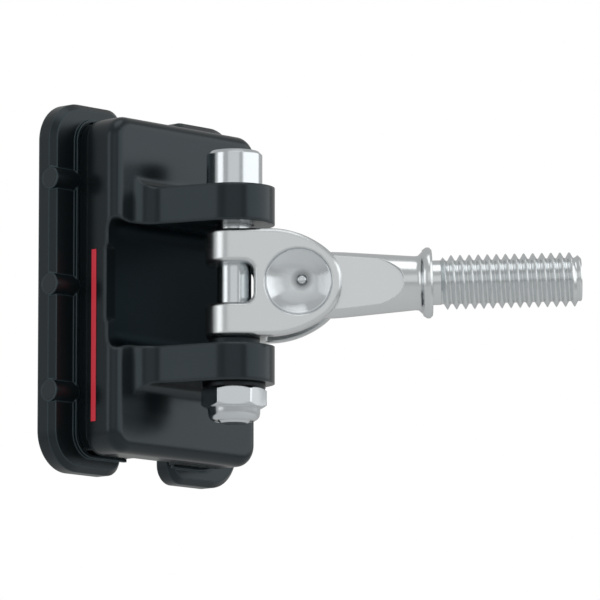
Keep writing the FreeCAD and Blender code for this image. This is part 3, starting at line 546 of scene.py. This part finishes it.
def shift_nubs(mesh):
    """Push each nub a little off the middle of its dish, as a riveting tool leaves it."""
    for vertex in mesh.vertices:
        radius = math.hypot(vertex.co.y, vertex.co.z)
        if abs(vertex.co.x) > PIN_FACE - DISH_DEPTH - 0.0001 and radius < NUB_CALM:
            share = min(1, (NUB_CALM - radius) / (NUB_CALM - NUB_FOOT))
            vertex.co.y -= share * NUB_ASIDE
            vertex.co.z += share * NUB_RAISED


half = head_profile()
other_half = [(-along, radius) for along, radius in half[::-1]]
rivet = new_item("riveted_pin", lathe(other_half + half, FINE_ROUND))
shift_nubs(rivet.data)
stud_joint = next(joint for joint in frame["joints"] if joint["name"] == "stud_tilt")
TOGGLE_YAW = math.radians(43)
pin_place = Matrix.Translation(Vector(stud_joint["pos_m"])) @ Matrix.Rotation(TOGGLE_YAW, 4, "Z")
rivet.data.transform(pin_place @ Matrix.Rotation(math.pi / 2, 4, "Z"))

RING_STEP = 0.00009
RING_HEIGHT = 0.0000018
# The darker ring round each nub is painted shade.
NUB_SHADE_OUTER = 0.0021
NUB_SHADE_FULL = 0.0009
NUB_SHADE_INNER = 0.0006
NUB_SHADE = (0.12, 0.125, 0.13, 1)


def turned_steel(name, tint, rough, middle, turn):
    """Bright steel with a lathe's fine rings about an axis and a ring of painted shade round the
    nubs.
    """
    finish, shader, start = new_finish(name)
    cloud = noise(start, 0.004, 3)
    place = start.node("ShaderNodeTexCoord", output="Object")
    inputs = {"Vector": place, "Location": middle, "Rotation": (0, 0, turn)}
    local = start.node("ShaderNodeMapping", inputs, vector_type="TEXTURE")
    across = start.node("ShaderNodeSeparateXYZ", {0: local}, output="X")
    upward = start.node("ShaderNodeSeparateXYZ", {0: local}, output="Z")
    radius = start.math("SQRT", across * across + upward * upward)
    rings = start.math("SINE", radius * (math.tau / RING_STEP))
    light = tuple(min(1, 1.05 * part) for part in tint)
    bright = mix(start, cloud, (*tint, 1), (*light, 1))
    aside = across - NUB_ASIDE
    above = upward - NUB_RAISED
    from_nub = start.math("SQRT", aside * aside + above * above)
    limits = {"Value": from_nub, "From Min": NUB_SHADE_OUTER, "From Max": NUB_SHADE_FULL}
    moat = start.node("ShaderNodeMapRange", limits)
    limits = {"Value": from_nub, "From Min": NUB_SHADE_INNER, "From Max": NUB_SHADE_FULL}
    crown = start.node("ShaderNodeMapRange", limits)
    # Painted shade in a ring round the nub, rougher there too.
    nub_shade = moat * crown * (0.55 + 0.45 * cloud)
    feed(shader, "Base Color", mix(start, nub_shade, bright, NUB_SHADE))
    feed(shader, "Roughness", rough + 0.06 * cloud + 0.2 * nub_shade)
    shader.inputs["Metallic"].default_value = 1.0
    fine_bump(start, shader, rings, 1.0, RING_HEIGHT)
    return finish


rivet_steel = turned_steel(
    "rivet_steel",
    (0.72, 0.76, 0.78),
    rough=0.1,
    middle=stud_joint["pos_m"],
    turn=TOGGLE_YAW,
)
fit_piece(rivet, rivet_steel, "toggle", degrees=30)
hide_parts("cross_pin")


# Stud
# Stainless steel, turned and polished, with its flats milled and its thread rolled.
# The eye turns on the cross pin between the toggle's ears.

def arc(centre_x, centre_z, radius, start, end, steps):
    """Points along an arc, by its angles in degrees."""
    turns = [math.radians(start + (end - start) * step / steps) for step in range(steps + 1)]
    return [(centre_x + radius * math.cos(t), centre_z + radius * math.sin(t)) for t in turns]


EYE_RADIUS = 0.0054
TANG_HALF = 0.0034
FLAT_END = 0.0184
FLAT_TIP = 0.003
FLAT_SIDE = 0.009
FLAT_TURN = 50
COLLAR_START = 0.022
COLLAR_END = 0.0234
COLLAR_RADIUS = 0.0062
COLLAR_SOFT = 0.00042
RELIEF_RADIUS = 0.0039
CORE_RADIUS = RELIEF_RADIUS - 0.0003
THREAD_START = 0.0248
THREAD_END = 0.04949
THREAD_RADIUS = 0.0047625
THREAD_PITCH = 0.0254 / 16
THREAD_DEPTH = 0.6134 * THREAD_PITCH
TIP_RADIUS = THREAD_RADIUS - 0.0011
BEYOND = 0.01

neck = new_item("threaded_stud", lathe([
    (0, EYE_RADIUS),
    (0.002, 0.00558),
    (0.004, 0.00574),
    (0.006, 0.00582),
    (0.008, 0.00572),
    (0.0204, 0.00473),
    (0.021, 0.00478),
    (COLLAR_START - 0.0003, 0.00545),
    (COLLAR_START - COLLAR_SOFT / 2, COLLAR_RADIUS - COLLAR_SOFT),
    (COLLAR_START + COLLAR_SOFT, COLLAR_RADIUS),
    (COLLAR_END - COLLAR_SOFT, COLLAR_RADIUS),
    (COLLAR_END, COLLAR_RADIUS - COLLAR_SOFT),
    (COLLAR_END, RELIEF_RADIUS),
    (THREAD_START + 0.0001, RELIEF_RADIUS),
], FINE_ROUND))
disc = arc(0, 0, EYE_RADIUS, 0, 360, FINE_ROUND)[:-1]
carve(neck, new_item("eye_disc", prism(disc, -TANG_HALF, TANG_HALF)), "UNION")

# Two flats are milled across the neck, each with a rounded end.
lean = math.radians(FLAT_TURN)
side_x = FLAT_END - FLAT_TIP - (FLAT_SIDE - FLAT_TIP) * math.cos(lean)
side_z = FLAT_SIDE - (FLAT_SIDE - FLAT_TIP) * math.sin(lean)
tongue = arc(side_x, FLAT_SIDE - side_z, FLAT_SIDE, -90, -FLAT_TURN, 12)[:-1]
tongue += arc(FLAT_END - FLAT_TIP, 0, FLAT_TIP, -FLAT_TURN, FLAT_TURN, 16)
tongue += arc(side_x, side_z - FLAT_SIDE, FLAT_SIDE, FLAT_TURN, 90, 12)[1:]
behind = -COLLAR_RADIUS - 0.001
flat = [(behind, -BEYOND), (side_x, -BEYOND)]
flat += tongue
flat += [(side_x, BEYOND), (behind, BEYOND)]
for side in (-1, 1):
    low, high = sorted((side * TANG_HALF, side * BEYOND))
    carve(neck, new_item("flat_cutter", prism(flat, low, high)))


THREAD_STEPS = 64
RUN_IN_RADIUS = RELIEF_RADIUS - 0.0002
RUN_IN_SLOPE = 1.3
# One turn of the ridge, from crest to crest: share of the pitch and share of the depth.
RIDGE = [
    (0.0, 1.0),
    (0.06, 0.95),
    (0.36, 0.08),
    (0.44, 0.0),
    (0.56, 0.0),
    (0.64, 0.08),
    (0.94, 0.95),
]


def thread_form():
    """A rolled thread: its ridge wound up the shank, run out at both ends."""
    form = bmesh.new()
    turns = int((THREAD_END - THREAD_START) / THREAD_PITCH) + 2
    strips = []
    for count in range(-THREAD_STEPS, turns * THREAD_STEPS + 1):
        angle = math.tau * count / THREAD_STEPS
        strip = []
        for share, height in RIDGE:
            along = THREAD_START + THREAD_PITCH * (count / THREAD_STEPS + share)
            along = min(max(along, THREAD_START), THREAD_END)
            radius = THREAD_RADIUS - THREAD_DEPTH * (1 - height)
            radius = min(radius, TIP_RADIUS + THREAD_END - along)
            radius = min(radius, RUN_IN_RADIUS + RUN_IN_SLOPE * (along - THREAD_START))
            place = (along, radius * math.cos(angle), radius * math.sin(angle))
            strip.append(form.verts.new(place))
        strips.append(strip)
    for first, second in zip(strips, strips[1:]):
        for near in range(len(RIDGE) - 1):
            form.faces.new((first[near], second[near], second[near + 1], first[near + 1]))
    for number in range(len(strips) - THREAD_STEPS - 1):
        first, second = strips[number], strips[number + 1]
        far_first, far_second = strips[number + THREAD_STEPS], strips[number + THREAD_STEPS + 1]
        form.faces.new((first[-1], second[-1], far_second[0], far_first[0]))
    bmesh.ops.remove_doubles(form, verts=form.verts, dist=SAME_POINT)
    return form


thread = new_item("thread", thread_form())
core = new_item("thread_core", lathe([
    (COLLAR_END, CORE_RADIUS),
    (THREAD_END - 0.00012, CORE_RADIUS),
    (THREAD_END, TIP_RADIUS - 0.00001),
], PLAIN_ROUND))
STUD_TILT = math.radians(1.5)
stud_place = pin_place @ Matrix.Rotation(-STUD_TILT, 4, "Y")
stud_steel = bright_steel(
    "stud_steel", (0.74, 0.77, 0.78), rough=0.17, scratch=0.04, edge_radius=0.0002
)
for item in (neck, thread, core):
    item.data.transform(stud_place)
    fit_piece(item, stud_steel, "stud", degrees=40)
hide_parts("stud")


# Side stripe
# A line of satin red paint along the body's left side, laid on over the anodising.
# It is about a tenth of a millimetre thick.

stripe_red = satin_polymer(
    "stripe_red",
    (0.8, 0.035, 0.06),
    (0.88, 0.045, 0.075),
    rough=0.35,
    edge_radius=0.0001,
    edge_gain=1,
)
dress("side_stripe", stripe_red)


# Studio
# A pale floor far below the car, large soft lamps round it and a white surround.
# The camera stands at the photograph's angle, to the left of the car and a little below it.

MIDDLE = Vector((0.025, 0.005, 0))


def lamp(name, swing, rise, distance, width, height, radiance):
    """A soft rectangular lamp, by its swing from +X and its rise, aimed at the part."""
    swing, rise = math.radians(swing), math.radians(rise)
    flat = math.cos(rise)
    away = Vector((math.cos(swing) * flat, math.sin(swing) * flat, math.sin(rise)))
    data = bpy.data.lights.new(name, "AREA")
    data.shape = "RECTANGLE"
    data.size = width
    data.size_y = height
    data.energy = radiance * math.pi * width * height
    item = bpy.data.objects.new(name, data)
    item.location = MIDDLE + distance * away
    item.rotation_euler = away.to_track_quat("Z", "Y").to_euler()
    bpy.context.scene.collection.objects.link(item)


# Swing and rise in degrees, then distance, width and height in metres, and radiance.
lamp("front_lamp", -50, 14, 1.9, 1.6, 1.0, 0.27)
lamp("left_front_lamp", -107, 12, 1.5, 0.65, 1.0, 0.86)
lamp("left_lamp", -158, 12, 1.5, 0.5, 0.8, 0.9)
lamp("right_lamp", 31, 18, 1.4, 2.5, 0.9, 0.88)
lamp("top_lamp", -30, 75, 1.3, 0.9, 0.9, 1.0)

ROOM_LEVEL = 0.45
MIRRORED_MORE = 0.03
world = bpy.data.worlds.new("studio_white")
world.use_nodes = True
background = world.node_tree.nodes["Background"]
start = Value(world.node_tree)
seen = start.node("ShaderNodeLightPath", output="Is Camera Ray")
glossy = start.node("ShaderNodeLightPath", output="Is Glossy Ray")
through = start.node("ShaderNodeLightPath", output="Is Transmission Ray")
white = start.math("MAXIMUM", seen, through)
level = start.math("MAXIMUM", white, ROOM_LEVEL + MIRRORED_MORE * glossy)
start.tree.links.new(level.socket, background.inputs["Strength"])
background.inputs["Color"].default_value = (1, 1, 1, 1)
bpy.context.scene.world = world

FLOOR_LEVEL = -0.4
FLOOR_SIZE = 6
FLOOR_MOTTLE = 0.4
FLOOR_LIGHT = (0.83, 0.83, 0.83, 1)
FLOOR_DARK = (0.8, 0.8, 0.8, 1)
bpy.ops.mesh.primitive_plane_add(size=FLOOR_SIZE, location=(0, 0, FLOOR_LEVEL))
floor = bpy.context.object
floor.name = "floor"
floor_white, shader, start = new_finish("floor_white")
feed(shader, "Base Color", mix(start, noise(start, FLOOR_MOTTLE), FLOOR_DARK, FLOOR_LIGHT))
shader.inputs["Roughness"].default_value = 0.9
floor.data.materials.append(floor_white)

CAMERA_AIM = Vector((0.0247, 0, 0))
CAMERA_SWING = math.radians(43)
CAMERA_RISE = math.radians(-8.1)
CAMERA_DISTANCE = 1.045
FOCAL_PIXELS = 5985
IMAGE_WIDTH = 600
SENSOR_WIDTH = 36
AIM_PIXELS = (64.35, 14.07)

back = Vector((
    math.sin(CAMERA_SWING) * math.cos(CAMERA_RISE),
    -math.cos(CAMERA_SWING) * math.cos(CAMERA_RISE),
    math.sin(CAMERA_RISE),
))
right = Vector((math.cos(CAMERA_SWING), math.sin(CAMERA_SWING), 0))
up = back.cross(right)
spot = CAMERA_AIM + CAMERA_DISTANCE * back
pixel = CAMERA_DISTANCE / FOCAL_PIXELS
target = CAMERA_AIM + AIM_PIXELS[0] * pixel * right - AIM_PIXELS[1] * pixel * up
lens = bpy.data.cameras.new("camera")
lens.sensor_width = SENSOR_WIDTH
lens.lens = SENSOR_WIDTH * FOCAL_PIXELS / IMAGE_WIDTH
lens.clip_end = 20
camera = bpy.data.objects.new("camera", lens)
camera.location = spot
camera.rotation_euler = (target - spot).to_track_quat("-Z", "Y").to_euler()
bpy.context.scene.collection.objects.link(camera)
bpy.context.scene.camera = camera
bpy.context.scene.view_settings.view_transform = "Standard"
